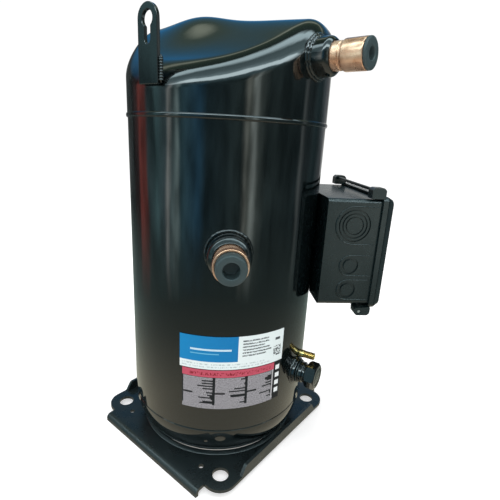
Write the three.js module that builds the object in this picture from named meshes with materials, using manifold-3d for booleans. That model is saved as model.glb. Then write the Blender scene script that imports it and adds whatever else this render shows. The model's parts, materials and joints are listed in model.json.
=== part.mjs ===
// Hermetic scroll compressor: welded steel shell with its feet, stubs, terminal box and
// labels outside, and the motor, crankshaft and scroll set inside.
// Millimetres, +Z up. The origin is on the shell's axis, in the plane the feet rest on.
import * as THREE from 'three';
import { mergeVertices } from 'three/addons/utils/BufferGeometryUtils.js';
import Module from 'manifold-3d';

const wasm = await Module();
wasm.setup();

// ---------------------------------------------------------------- driving dimensions
const GAP = 0.35; // clearance left between neighbouring pieces
const SIDES = 32; // facets round every full-size cylinder
const FEWER = 20; // facets round the middle-size ones
const SMALL = 14; // facets round fittings and fasteners

const holePitch = 190.5; // mounting holes, square pattern
const holeRadius = 9.5;
const plateHalf = 117;
const plateCorner = plateHalf - holePitch / 2; // rounded about the hole's centre
const plateThick = 4;
const plateTop = 10;
const flangeLength = 181;

const shellRadius = 116.8;
const wall = 4;
const bore = shellRadius - wall;
const bodyBottom = 55.7;
const seam = 407; // top of the shell body, where the cap is welded on

const capRadius = 117.3;
const capLow = 448.6; // height that the cap's ramp falls towards
const capHigh = 511.2; // level of the crown, without its hump
const capLowAngle = -77.5; // bearing of the ramp's low side
const capRampFrom = 6; // distance from the axis, towards that side, where the ramp starts
const capRampTo = 149;
const capRampBlend = 0.14; // share of the ramp over which the crown bends into it
const capRampSkew = 0.65; // below 1 the ramp drops early and runs out slowly
const capCrowning = 0.00024; // 1/mm, how fast the crown falls away from the axis
const capRound = 20;
const humpX = -31; // middle of the crown's low hump
const humpY = -21;
const humpHeight = 9;
const humpSpread = 42;

const dischargeHeight = 469.3;
const suctionAngle = -44.8;
const suctionHeight = 275.6;
const lugAngle = -86.8;
const boxAngle = 45;
const glassAngle = 9.5;
const glassHeight = 106;
const valveAngle = 13;
const valveHeight = 127.5;
const terminalHeight = 292;

const crankThrow = 4.8; // eccentricity of the drive pin, and radius of the orbit
const wrapPitch = 18; // radial distance from one turn of the wrap to the next
const wrapThick = 3.2;
const wrapHeight = 30;
const wrapFloor = 366; // top face of the orbiting scroll's plate

// ---------------------------------------------------------------- geometry helpers
const rad = THREE.MathUtils.degToRad;

const toSolid = (geometry) => {
  const bare = geometry.clone();
  bare.deleteAttribute('normal');
  bare.deleteAttribute('uv');
  const merged = mergeVertices(bare, 1e-4);
  return new wasm.Manifold(new wasm.Mesh({
    numProp: 3,
    vertProperties: new Float32Array(merged.attributes.position.array),
    triVerts: new Uint32Array(merged.index.array),
  }));
};

const toGeometry = (solid) => {
  const mesh = solid.getMesh();
  const geometry = new THREE.BufferGeometry();
  geometry.setAttribute('position', new THREE.BufferAttribute(mesh.vertProperties, 3));
  geometry.setIndex(new THREE.BufferAttribute(mesh.triVerts, 1));
  geometry.computeVertexNormals();
  return geometry;
};

const join = (...parts) => toGeometry(parts.map(toSolid).reduce((all, one) => all.add(one)));

const cut = (part, ...tools) =>
  toGeometry(tools.map(toSolid).reduce((left, tool) => left.subtract(tool), toSolid(part)));

// Solid of revolution about Z. The profile is a list of [radius, height] pairs that runs
// anticlockwise, with the radius to the right; it closes itself when it leaves the axis.
const revolve = (profile, sides = SIDES) => {
  const points = profile.map(([r, z]) => new THREE.Vector2(r, z));
  const onAxis = profile[0][0] === 0 && profile.at(-1)[0] === 0;
  if (!onAxis) points.push(points[0].clone());
  return new THREE.LatheGeometry(points, sides).rotateX(Math.PI / 2);
};

const disc = (radius, z0, z1, sides = SIDES) =>
  revolve([[0, z0], [radius, z0], [radius, z1], [0, z1]], sides);

const ring = (inner, outer, z0, z1, sides = SIDES) =>
  revolve([[inner, z0], [outer, z0], [outer, z1], [inner, z1]], sides);

const box = (x0, x1, y0, y1, z0, z1) =>
  new THREE.BoxGeometry(x1 - x0, y1 - y0, z1 - z0)
    .translate((x0 + x1) / 2, (y0 + y1) / 2, (z0 + z1) / 2);

const arc = (cx, cy, radius, from, to, steps) =>
  Array.from({ length: steps + 1 }, (_, i) => {
    const a = rad(from + ((to - from) * i) / steps);
    return [cx + radius * Math.cos(a), cy + radius * Math.sin(a)];
  });

const circle = (cx, cy, radius, sides) => arc(cx, cy, radius, 0, 360, sides).slice(0, -1);

const vectors = (points) => points.map(([x, y]) => new THREE.Vector2(x, y));

// Flat outline with holes, extruded along +Z from z0 to z1.
const slab = (outline, holes, z0, z1) => {
  const shape = new THREE.Shape(vectors(outline));
  shape.holes = holes.map((hole) => new THREE.Path(vectors(hole)));
  return new THREE.ExtrudeGeometry(shape, { depth: z1 - z0, bevelEnabled: false })
    .translate(0, 0, z0);
};

const sector = (inner, outer, from, to, z0, z1, steps) =>
  slab([...arc(0, 0, outer, from, to, steps), ...arc(0, 0, inner, to, from, steps)], [], z0, z1);

const roundedBox = (halfX, halfY, radius, steps) => [
  ...arc(halfX - radius, halfY - radius, radius, 0, 90, steps),
  ...arc(radius - halfX, halfY - radius, radius, 90, 180, steps),
  ...arc(radius - halfX, radius - halfY, radius, 180, 270, steps),
  ...arc(halfX - radius, radius - halfY, radius, 270, 360, steps),
];

// Turns something built along +Z so that it points outwards along +X.
const outward = (geometry) => geometry.rotateY(Math.PI / 2);

// Upright outline in the tangent and height directions, extruded outwards from x0 to x1.
const upright = (outline, holes, x0, x1) =>
  slab(outline, holes, x0, x1).rotateX(Math.PI / 2).rotateZ(Math.PI / 2);

// Solid between two outlines with the same number of points, standing at two distances.
const loft = (near, x0, far, x1) => {
  const count = near.length;
  const positions = [];
  for (const [y, z] of near) positions.push(x0, y, z);
  for (const [y, z] of far) positions.push(x1, y, z);
  const index = [];
  for (let i = 0; i < count; i += 1) {
    const j = (i + 1) % count;
    index.push(i, j, count + j, i, count + j, count + i);
    if (i > 0 && i + 1 < count) index.push(0, i + 1, i, count, count + i, count + i + 1);
  }
  const geometry = new THREE.BufferGeometry();
  geometry.setAttribute('position', new THREE.Float32BufferAttribute(positions, 3));
  geometry.setIndex(index);
  return geometry;
};

// ---------------------------------------------------------------- materials
const finish = (color, roughness, metalness) =>
  new THREE.MeshStandardMaterial({ color, roughness, metalness });

const blackPaint = finish(0x0b0f10, 0.12, 0.0);
const copper = finish(0xb87a4b, 0.28, 1.0);
const plugRubber = finish(0x5d6f70, 0.6, 0.0);
const boxPlastic = finish(0x18201f, 0.42, 0.0);
const brass = finish(0xc9a24a, 0.3, 1.0);
const glass = finish(0xd8e4e2, 0.05, 0.0);
const steel = finish(0x9a9d9f, 0.35, 1.0);
const castIron = finish(0x4d4f50, 0.6, 0.8);
const aluminium = finish(0xb9bcbe, 0.4, 1.0);
const lamination = finish(0x6f7274, 0.5, 0.9);
const winding = finish(0xa85f2d, 0.35, 0.6);
const blueLabel = finish(0x1b7fc4, 0.35, 0.0);
const redLabel = finish(0xb23c43, 0.4, 0.0);

const model = new THREE.Group();

const add = (parent, name, geometry, material) => {
  const mesh = new THREE.Mesh(geometry, material.clone());
  mesh.name = name;
  parent.add(mesh);
  return mesh;
};

// A group whose local +X points away from the axis at the given angle and height.
const station = (angle, height = 0) => {
  const group = new THREE.Group();
  group.rotation.z = rad(angle);
  group.position.z = height;
  model.add(group);
  return group;
};

const radialDrill = (radius, angle, height, from = 90, to = 140) =>
  outward(disc(radius, from, to, SMALL)).rotateZ(rad(angle)).translate(0, 0, height);

// ---------------------------------------------------------------- base plate and bottom
const bottomCap = () => {
  const flat = 72;
  const depth = bodyBottom - GAP;
  const quarter = (reach, drop, lift, steps) =>
    Array.from({ length: steps + 1 }, (_, i) => {
      const a = (Math.PI / 2) * (i / steps);
      return [flat + reach * Math.sin(a), lift + drop * (1 - Math.cos(a))];
    });
  const outside = quarter(shellRadius - flat, depth, 0, 6);
  const inside = quarter(bore - flat, depth - wall, wall, 4).reverse();
  return revolve([[0, 0], ...outside, ...inside, [0, wall]]);
};

const downFlange = (side) => {
  const edge = plateHalf - 1;
  const outer = plateHalf + 13;
  const inner = outer - plateThick;
  const under = plateTop - plateThick;
  const roll = 5;
  const section = [
    [edge, under], [inner - 2, under], [inner, under - 2], [inner, 0],
    [outer, 0], ...arc(outer - roll, plateTop - roll, roll, 0, 90, 3), [edge, plateTop],
  ];
  const flange = upright(section, [], -flangeLength / 2, flangeLength / 2);
  return side > 0 ? flange : flange.rotateZ(Math.PI);
};

const upFlange = (side) => {
  const foot = plateTop - plateThick / 2;
  const top = plateTop + 12;
  const longHalf = 83;
  const shortHalf = 74;
  const face = [[-longHalf, foot], [longHalf, foot], [shortHalf, top], [-shortHalf, top]];
  const start = side > 0 ? plateHalf - plateThick : -plateHalf;
  return upright(face, [], start, start + plateThick);
};

const basePlate = () => {
  const half = holePitch / 2;
  const opening = 99.3;
  const holes = [circle(0, 0, opening, SIDES)];
  for (const sx of [-1, 1]) {
    for (const sy of [-1, 1]) {
      holes.push(circle(sx * half, sy * half, holeRadius, SMALL));
      holes.push(circle(sx * 70, sy * 102.5, 3, 8));
    }
  }
  const sheet = slab(roundedBox(plateHalf, plateHalf, plateCorner, 5), holes,
    plateTop - plateThick, plateTop);
  const collar = revolve([
    [opening, plateTop - 2], [opening + 7, plateTop - 2], [opening + 7, plateTop + 0.2],
    [opening + 2.4, plateTop + 2], [opening + 0.8, plateTop + 1.8], [opening, plateTop],
  ]);
  return join(sheet, collar, downFlange(1), downFlange(-1), upFlange(1), upFlange(-1));
};

// ---------------------------------------------------------------- shell and top cap
const shellBody = () => cut(
  ring(bore, shellRadius, bodyBottom, seam),
  radialDrill(19.3, suctionAngle, suctionHeight),
  radialDrill(17.5, boxAngle, terminalHeight),
  radialDrill(10.5, glassAngle, glassHeight),
  radialDrill(4, valveAngle, valveHeight),
);

// Height of the cap's upper surface: a slightly domed crown with a low hump, and an S-shaped
// ramp down to the low side.
const capTopAt = (r, a) => {
  const reach = r * Math.cos(a - rad(capLowAngle));
  const share = THREE.MathUtils.clamp((reach - capRampFrom) / (capRampTo - capRampFrom), 0, 1);
  const eased = (share * share * (1 + capRampBlend)) / (share + capRampBlend);
  const t = eased ** capRampSkew;
  const fall = (capHigh - capLow) * t * t * (3 - 2 * t);
  const away = Math.hypot(r * Math.cos(a) - humpX, r * Math.sin(a) - humpY) / humpSpread;
  return capHigh + humpHeight * Math.exp(-away * away) - fall - capCrowning * r * r;
};

// Rings of the cap's skin: the wall, the rounded rim and the crown.
const capRings = (radius, round, drop, rim, crown) => [
  ...rim.map((degrees) => {
    const r = radius - round * (1 - Math.cos(rad(degrees)));
    const fall = round * (1 - Math.sin(rad(degrees))) + drop;
    return (a) => [r, capTopAt(r, a) - fall];
  }),
  ...crown.map((share) => {
    const r = (radius - round) * share;
    return (a) => [r, capTopAt(r, a) - drop];
  }),
];

// The cap is a grid of rings: inside from the crown down, round the skirt, whose lip laps
// the shell's seam, and up the outside again.
const topCap = () => {
  const drop = 5.2; // thickness measured upright, a little more than the wall
  const lip = shellRadius + GAP;
  const inside = capRings(capRadius - wall, capRound - wall, drop, [0, 45, 90], [0.7, 0.42, 0.2]);
  const skirt = [
    [capRadius - wall, seam + GAP], [lip, seam + GAP], [lip, seam - 2],
    [capRadius + 1, seam - 1.6], [capRadius + 1.3, seam + 1.6], [capRadius, seam + 3],
  ].map((corner) => () => corner);
  const crown = [0.84, 0.68, 0.52, 0.38, 0.25, 0.12];
  const outside = capRings(capRadius, capRound, 0, [0, 30, 60, 90], crown);
  const rows = [...inside.reverse(), ...skirt, ...outside];
  const positions = rows.flatMap((row) =>
    Array.from({ length: SIDES }, (_, i) => {
      const a = (2 * Math.PI * i) / SIDES;
      const [r, z] = row(a);
      return [r * Math.cos(a), r * Math.sin(a), z];
    })).flat();
  const poles = [positions.length / 3, positions.length / 3 + 1];
  positions.push(0, 0, capTopAt(0, 0) - drop, 0, 0, capTopAt(0, 0));
  const index = [];
  for (let i = 0; i < SIDES; i += 1) {
    const j = (i + 1) % SIDES;
    for (let row = 0; row + 1 < rows.length; row += 1) {
      const [low, high] = [row * SIDES, (row + 1) * SIDES];
      index.push(low + i, low + j, high + j, low + i, high + j, high + i);
    }
    const last = (rows.length - 1) * SIDES;
    index.push(j, i, poles[0], last + i, last + j, poles[1]);
  }
  const geometry = new THREE.BufferGeometry();
  geometry.setAttribute('position', new THREE.Float32BufferAttribute(positions, 3));
  geometry.setIndex(index);
  return cut(geometry, radialDrill(16.3, 0, dischargeHeight));
};

const liftingLug = () => {
  const half = 13.4;
  const thick = 4;
  const bottom = 434;
  const top = 503;
  const shoulder = top - half;
  const slotHalf = 4;
  const slotFoot = 472.5;
  const eye = 7.2;
  const eyeHeight = 490;
  const meet = Math.asin(slotHalf / eye) * (180 / Math.PI);
  const outline = [[-half, bottom], [half, bottom], ...arc(0, shoulder, half, 0, 180, 12)];
  const keyhole = [
    ...arc(0, eyeHeight, eye, meet - 90, 270 - meet, 14),
    ...arc(0, slotFoot, slotHalf, 180, 360, 6),
  ];
  return upright(outline, [keyhole], capRadius + GAP, capRadius + GAP + thick);
};

// ---------------------------------------------------------------- suction and discharge stubs
// Each stub is a steel collar welded round a hole in the wall, a stepped copper tube in the
// collar and a rubber shipping plug in the tube's mouth. The suction plug's head sinks into
// the mouth as far as its seat; the discharge plug's head caps the tube's end.
const stubCollar = (size) => {
  const inner = size.neck + GAP;
  return outward(revolve([
    [inner, bore - 2], [size.spud, bore - 2], [size.spud, size.wall - 4],
    [size.weld, size.wall - 4], [size.weld, size.wall + 1.2],
    [size.collar + 1, size.wall + 3], [size.collar, size.wall + 4],
    [size.collar, size.collarEnd - size.cone], [size.collar - size.cone, size.collarEnd],
    [inner, size.collarEnd],
  ], FEWER));
};

const stub = (parent, names, size) => {
  const body = stubCollar(size);
  // the collar's underside follows the wall: everything inside the wall but the spud goes
  const wallCylinder = ring(60, size.wall + 2 * GAP, -40, 40);
  const hollow = cut(wallCylinder, outward(disc(size.spud, 90, 140, FEWER)));
  add(parent, names.collar, cut(body, hollow), blackPaint);
  const plugReach = 12; // how far the plug goes down the tube
  const plugBlind = 14; // depth of the blind hole in the plug
  const seat = size.end - size.seat;
  const mouth = size.seat ? [[size.plug + GAP, size.end], [size.plug + GAP, seat]] : [];
  const tube = revolve([
    [size.inside, 104], [size.neck, 104], [size.neck, size.collarEnd + 7],
    [size.neck - 1, size.collarEnd + 7.6], [size.neck - 1, size.collarEnd + 9.4],
    [size.sleeve - 0.8, size.collarEnd + 10.2], [size.sleeve, size.collarEnd + 11],
    [size.sleeve, size.end - 1], [size.sleeve - 1, size.end], ...mouth, [size.inside, seat],
  ], FEWER);
  add(parent, names.tube, outward(tube), copper);
  const plug = revolve([
    [0, size.end - plugReach], [size.inside - GAP, size.end - plugReach],
    [size.inside - GAP, seat + GAP], [size.plug, seat + GAP],
    [size.plug, size.plugEnd - 1], [size.plug - 1, size.plugEnd],
    [size.plugHole, size.plugEnd], [size.plugHole, size.plugEnd - plugBlind],
    [0, size.plugEnd - plugBlind],
  ], FEWER);
  add(parent, names.plug, outward(plug), plugRubber);
};

const ports = () => {
  stub(station(0, dischargeHeight),
    { collar: 'discharge_collar', tube: 'discharge_tube', plug: 'discharge_plug' },
    { spud: 15.2, neck: 13.3, weld: 22, collar: 18.4, cone: 2, wall: capRadius,
      collarEnd: 136.5, inside: 10.6, sleeve: 14.6, end: 169.3, seat: 0,
      plug: 14.4, plugEnd: 172.8, plugHole: 6.2 });
  stub(station(suctionAngle, suctionHeight),
    { collar: 'suction_collar', tube: 'suction_tube', plug: 'suction_plug' },
    { spud: 18.1, neck: 16.2, weld: 25.5, collar: 22.8, cone: 5, wall: shellRadius,
      collarEnd: 141, inside: 13.4, sleeve: 17.5, end: 161, seat: 3,
      plug: 15, plugEnd: 171, plugHole: 8 });
};

// ---------------------------------------------------------------- sight glass and oil valve
const sightGlass = () => {
  const at = station(glassAngle, glassHeight);
  const wallCylinder = ring(60, shellRadius + 2 * GAP, -30, 30);
  const boss = outward(ring(11.2, 16, 113.4, 121.3, SMALL));
  add(at, 'sight_glass_boss', cut(boss, wallCylinder), blackPaint);
  add(at, 'sight_glass_seal', outward(ring(10.4, 14.4, 121.7, 123.8, SMALL)), boxPlastic);
  const nut = revolve([
    [7, 113.4], [9.8, 113.4], [9.8, 124.2], [13.2, 124.2], [13.2, 134], [7, 134],
  ], SMALL);
  const hex = ring(7, 17, 134, 147, 6);
  const mouth = disc(11, 144, 150, SMALL);
  add(at, 'sight_glass_body', outward(cut(join(nut, hex), mouth)), blackPaint);
  add(at, 'sight_glass_lens', outward(disc(10.6, 144.4, 146.4, SMALL)), glass);
};

const oilValve = () => {
  const at = station(valveAngle, valveHeight);
  const body = revolve([
    [2.4, 113.4], [3.6, 113.4], [3.6, 117.5], [4.8, 117.5], [4.8, 125], [3.9, 125.6],
    [3.9, 127.4], [4.8, 128], [4.8, 131], [3.9, 131.6], [3.9, 133.4], [4.8, 134],
    [4.8, 138], [2.4, 138],
  ], 12);
  add(at, 'oil_valve_body', outward(body), brass);
  const pin = revolve([[0, 118], [1.9, 118], [1.9, 126], [0.9, 127], [0.9, 137], [0, 137]], 8);
  add(at, 'oil_valve_pin', outward(pin), brass);
};

// ---------------------------------------------------------------- terminal box
// The box stands on the shell's side: its back lies inside the shell's bulge and is cut away
// round it. x points outwards, y along the tangent.
const boxBack = 113;
const boxSkin = 2.6;
const boxFront = 182;
const boxHalf = 73.5;
const boxLow = 200.3;
const boxHigh = 329.8;
const coverLap = 176.3; // where the cover's skirt starts
const coverSlope = 183; // where its sloping front starts
const coverFace = 190.6;
const coverHalf = boxHalf + 3;
const coverSkin = 2.2;
const hingeX = 166;
const hingeZ = 191.4;
const pinRadius = 1.9;
const pinHole = 2.5;
const earPlace = 60; // distance from the middle to the ears that carry the cover
const earHalf = 1.6;
const latchPlace = 69; // distance from the middle to the cover's latches and hinge tabs
const latchHalf = 6.5;
const latchTop = 343.8;
const knockoutX = 146.7;
// Grooves that mark the knockouts: height, inner radius and outer radius.
const knockouts = [
  [299.2, 17.6, 19.2], [299.2, 13.4, 15.2], [299.2, 9.6, 10.8],
  [250.6, 7.2, 10.4],
  [219.9, 7.2, 10.4],
];
const grooveDepth = 1.1;

const boxOutline = (half, low, high, radius, steps) =>
  roundedBox(half, (high - low) / 2, radius, steps).map(([y, z]) => [y, z + (low + high) / 2]);

// A rod along the cover's hinge line.
const hingeRod = (radius, y0, y1) =>
  disc(radius, y0, y1, 12).rotateX(-Math.PI / 2).translate(hingeX, 0, hingeZ);

const terminalBoxBase = () => {
  const inside = boxOutline(boxHalf - boxSkin, boxLow + boxSkin, boxHigh - boxSkin, 3, 2);
  const body = join(
    upright(boxOutline(boxHalf, boxLow, boxHigh, 5, 2), [inside], boxBack, boxFront),
    upright(boxOutline(boxHalf - 1, boxLow + 1, boxHigh - 1, 4, 2), [], boxBack, boxBack + boxSkin),
    ...[-earPlace, earPlace].flatMap((y) => [
      box(hingeX - 5, hingeX + 4, y - earHalf, y + earHalf, hingeZ - 4, hingeZ + 3),
      box(hingeX - 5, hingeX + 0.4, y - earHalf, y + earHalf, hingeZ + 2, boxLow + 1),
    ]),
  );
  const grooves = knockouts.map(([z, inner, outer]) =>
    ring(inner, outer, 0, 2, SMALL).rotateX(Math.PI / 2)
      .translate(knockoutX, grooveDepth - boxHalf, z));
  const shell = disc(shellRadius + GAP, boxLow - 5, boxHigh + 5);
  const terminalOpening = outward(disc(24, boxBack - 1, boxBack + boxSkin + 1, SMALL))
    .translate(0, 0, terminalHeight);
  return cut(body, shell, terminalOpening, ...grooves, hingeRod(pinHole, -boxHalf, boxHalf));
};

const terminalBoxCover = () => {
  const low = boxLow - 3.5;
  const high = boxHigh + 3.5;
  const inset = 4; // how far the sloping front draws in
  const skirt = upright(boxOutline(coverHalf, low, high, 6, 2),
    [boxOutline(coverHalf - coverSkin, low + 2, high - 2, 4, 2)], coverLap, coverSlope);
  const outer = boxOutline(coverHalf, low, high, 6, 2);
  const inner = boxOutline(coverHalf - inset, low + inset, high - inset, 6, 2);
  const front = loft(outer, coverSlope - 0.5, inner, coverFace);
  const latches = [-latchPlace, latchPlace].map((y) =>
    box(161.8, coverLap + 2, y - latchHalf, y + latchHalf, boxHigh + 1.4, latchTop));
  const rail = box(165, 168.6, -latchPlace, latchPlace, latchTop - 5.4, latchTop - 1.8);
  const tabs = [-latchPlace, latchPlace].map((y) =>
    box(hingeX - 6.6, coverLap + 3, y - latchHalf, y + latchHalf, hingeZ - 4.5, low + 0.4));
  return cut(join(skirt, front, ...latches, rail, ...tabs), hingeRod(pinHole, -90, 90));
};

const terminalBox = () => {
  const at = station(boxAngle);
  add(at, 'terminal_box_base', terminalBoxBase(), boxPlastic);
  add(at, 'terminal_box_cover', terminalBoxCover(), boxPlastic);
  const [pinInner, pinOuter] = [earPlace - 2.5, latchPlace + latchHalf - 1.5];
  add(at, 'cover_hinge_pin_near', hingeRod(pinRadius, -pinOuter, -pinInner), steel);
  add(at, 'cover_hinge_pin_far', hingeRod(pinRadius, pinInner, pinOuter), steel);
  const pinRing = arc(0, 0, 8, 90, 330, 2);
  const holes = pinRing.map(([y, z]) => circle(y, z, 2.1, 8));
  const header = station(boxAngle, terminalHeight);
  add(header, 'terminal_header', upright(circle(0, 0, 16.4, SMALL), holes, 110, 119.5), steel);
  pinRing.forEach(([y, z], i) => {
    const pin = outward(disc(1.7, 100, 138, 8)).translate(0, y, z);
    add(header, `terminal_pin_${i + 1}`, pin, steel);
  });
  const outline = roundedBox(17, 15, 5, 2);
  add(header, 'terminal_plug', upright(outline, holes, 123, 146), boxPlastic);
  add(header, 'motor_lead_block', upright(outline, holes, 92, 106), boxPlastic);
  const panel = boxBack + boxSkin + GAP;
  const screw = revolve([
    [0, panel], [2, panel], [2, panel + 4.6], [4.4, panel + 4.6], [4.4, panel + 7.6],
    [0, panel + 7.6],
  ], 6);
  add(header, 'ground_screw', outward(screw).translate(0, 48, -40), brass);
};

// ---------------------------------------------------------------- labels
const label = (from, to, low, high) =>
  sector(shellRadius + 0.3, shellRadius + 0.65, from, to, low, high, 16);

// ---------------------------------------------------------------- motor
const windingEnd = (z0, z1) => {
  const [low, high] = [Math.min(z0, z1), Math.max(z0, z1)];
  return revolve([
    [60, low], [96, low], [100, low + 4], [98, high - 4], [92, high], [66, high], [60, high - 4],
  ], FEWER);
};

const stator = () => {
  const teeth = 24;
  const slots = Array.from({ length: teeth }, (_, i) =>
    box(56, 78, -2.4, 2.4, 100, 250).rotateZ(rad((360 * i) / teeth)));
  const flats = [0, 120, 240].map((a) => box(108, 125, -30, 30, 100, 250).rotateZ(rad(a + 75)));
  return cut(ring(52.5, bore - 0.5, 112, 242, SIDES), ...slots, ...flats);
};

const counterweight = (from, to, z0, z1) => join(
  ring(16.4, 24, z0, z1, FEWER),
  sector(20, 47, from, to, z0, z1, 6),
);

const motor = () => {
  add(model, 'stator_core', stator(), lamination);
  add(model, 'upper_winding', windingEnd(242.5, 270), winding);
  add(model, 'lower_winding', windingEnd(84, 111.5), winding);
  add(model, 'rotor', ring(16.4, 51.4, 112, 242, FEWER), lamination);
  add(model, 'upper_counterweight', counterweight(-70, 70, 242.5, 262), steel);
  add(model, 'lower_counterweight', counterweight(110, 250, 92, 111.5), steel);
  add(model, 'thermal_sensor', disc(9, 0, 6, 16).translate(80, 0, 270.4), boxPlastic);
};

// ---------------------------------------------------------------- crankshaft and bearings
const crankshaft = () => join(
  revolve([
    [0, 48], [13.5, 48], [13.5, 90], [16, 90], [16, 330], [14, 333], [0, 333],
  ], FEWER),
  disc(11, 332, 353, SMALL).translate(crankThrow, 0, 0),
);

const lowerBracket = () => {
  const arms = [0, 120, 240].map((a) =>
    box(20, bore - 4, -12, 12, 60, 68).rotateZ(rad(a + 15)));
  return cut(join(ring(17, 30, 56, 82, FEWER), ...arms), disc(17, 40, 90, FEWER));
};

const boltPlaces = arc(0, 0, 104, 0, 270, 3);
const keyPlace = 68.5; // distance from the axis to each of the ring's keys

const mainHousing = () => {
  const body = revolve([
    [20.6, 294], [34, 294], [42, 318], [104, 330], [bore - 0.6, 330], [bore - 0.6, 365.6],
    [95.5, 365.6], [95.5, 345.5], [57, 345.5], [57, 355.4], [38, 355.4], [38, 331.5],
    [20.6, 331.5],
  ]);
  const keyways = [-keyPlace, keyPlace].map((x) => box(x - 12, x + 12, -4.5, 4.5, 339, 346));
  const vents = [45, 135, 225, 315].map((a) => box(84, 120, -14, 14, 320, 352).rotateZ(rad(a)));
  const threads = boltPlaces.map(([x, y]) => disc(3.4, 340, 370, 8).translate(x, y, 0));
  return cut(body, ...keyways, ...vents, ...threads);
};

const crankTrain = () => {
  add(model, 'crankshaft', crankshaft(), steel);
  add(model, 'drive_bushing', ring(11.4, 14.6, 334, 352.5, SMALL).translate(crankThrow, 0, 0), steel);
  add(model, 'oil_pickup', revolve([
    [3, 14], [5, 14], [12.2, 30], [12.2, 47.6], [9, 47.6], [9, 31],
  ], SMALL), steel);
  add(model, 'lower_bearing', ring(13.9, 16.6, 58, 80, FEWER), brass);
  add(model, 'main_bearing', ring(16.4, 20.2, 296, 329, FEWER), brass);
  add(model, 'lower_bearing_bracket', lowerBracket(), castIron);
  add(model, 'main_housing', mainHousing(), castIron);
};

// ---------------------------------------------------------------- scroll set
// The wrap is the involute of a circle, thickened by half the wall on each side.
const wrapOutline = (turnsFrom, turnsTo, phase) => {
  const base = wrapPitch / (2 * Math.PI);
  const steps = Math.round((turnsTo - turnsFrom) * 24);
  const side = (offset) => Array.from({ length: steps + 1 }, (_, i) => {
    const a = 2 * Math.PI * (turnsFrom + ((turnsTo - turnsFrom) * i) / steps);
    const run = base * a + offset;
    const turn = a + phase;
    return [
      base * Math.cos(turn) + run * Math.sin(turn),
      base * Math.sin(turn) - run * Math.cos(turn),
    ];
  });
  return [...side(wrapThick / 2), ...side(-wrapThick / 2).reverse()];
};

const wrap = (phase, z0, z1) => slab(wrapOutline(0.85, 4.0, phase), [], z0, z1);

const orbitingScroll = () => {
  const plate = disc(86, 356, wrapFloor, SIDES);
  const hub = ring(18.4, 24, 334, 357, FEWER);
  const slots = [-keyPlace, keyPlace].map((y) => box(-14.5, 14.5, y - 12, y + 12, 355, 361));
  return cut(join(plate, hub, wrap(Math.PI, wrapFloor - 1, wrapFloor + wrapHeight)), ...slots)
    .translate(crankThrow, 0, 0);
};

const fixedScroll = () => {
  const roof = wrapFloor + wrapHeight + 0.5;
  const plate = disc(bore - 0.6, roof, 410, SIDES);
  const rim = ring(88, bore - 0.6, wrapFloor + 0.4, roof + 1, SIDES);
  const intake = box(60, 130, -18, 18, wrapFloor - 2, roof - 6).rotateZ(rad(suctionAngle));
  const port = disc(6, 390, 420, SMALL);
  const wells = boltPlaces.map(([x, y]) => disc(3.9, 350, 420, 8).translate(x, y, 0));
  return cut(join(plate, rim, wrap(0, wrapFloor + 0.5, roof + 1)), intake, port, ...wells);
};

const scrollSet = () => {
  add(model, 'orbiting_scroll', orbitingScroll(), castIron);
  add(model, 'orbiting_bearing', ring(15, 18, 335, 353, FEWER).translate(crankThrow, 0, 0), brass);
  add(model, 'fixed_scroll', fixedScroll(), castIron);
  const keys = [
    ...[-keyPlace, keyPlace].map((x) => box(x - 6, x + 6, -4, 4, 340, 347)),
    ...[-keyPlace, keyPlace].map((y) => box(-4, 4, y - 6, y + 6, 350, 360)),
  ];
  add(model, 'oldham_ring', join(ring(62.2, 77, 346.2, 351, SIDES), ...keys), aluminium);
  boltPlaces.forEach(([x, y], i) => {
    const bolt = revolve([[0, 346], [3, 346], [3, 410.5], [6, 410.5], [6, 416], [0, 416]], 8);
    add(model, `scroll_bolt_${i + 1}`, bolt.translate(x, y, 0), steel);
  });
  add(model, 'floating_seal', revolve([
    [16, 410.6], [44, 410.6], [44, 415], [30, 415], [26, 422.4], [16, 422.4],
  ], FEWER), aluminium);
  add(model, 'muffler_plate', revolve([
    [13, 424.5], [capRadius - wall - GAP, 424.5], [capRadius - wall - GAP, 428], [40, 430],
    [13, 430],
  ]), steel);
  add(model, 'check_valve_disc', disc(15.5, 430.4, 432, SMALL), steel);
  const cage = [45, 135, 225, 315].map((a) => box(17.2, 21, -3, 3, 430.4, 440).rotateZ(rad(a)));
  add(model, 'check_valve_stop', join(ring(8, 21, 437, 440, SMALL), ...cage), steel);
};

// ---------------------------------------------------------------- assembly
add(model, 'base_plate', basePlate(), blackPaint);
add(model, 'bottom_cap', bottomCap(), blackPaint);
add(model, 'shell_body', shellBody(), blackPaint);
add(model, 'top_cap', topCap(), blackPaint);
add(station(lugAngle), 'lifting_lug', liftingLug(), blackPaint);
add(model, 'upper_label', label(-70, -8.6, 139, 180), blueLabel);
add(model, 'lower_label', label(-68.4, -9.2, 87, 138), redLabel);
ports();
sightGlass();
oilValve();
terminalBox();
motor();
crankTrain();
scrollSet();

export default model;
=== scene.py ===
"""The looks of a hermetic scroll compressor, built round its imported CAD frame."""

import json
import math

import bmesh
import bpy
from mathutils import Matrix, Vector, noise


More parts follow.
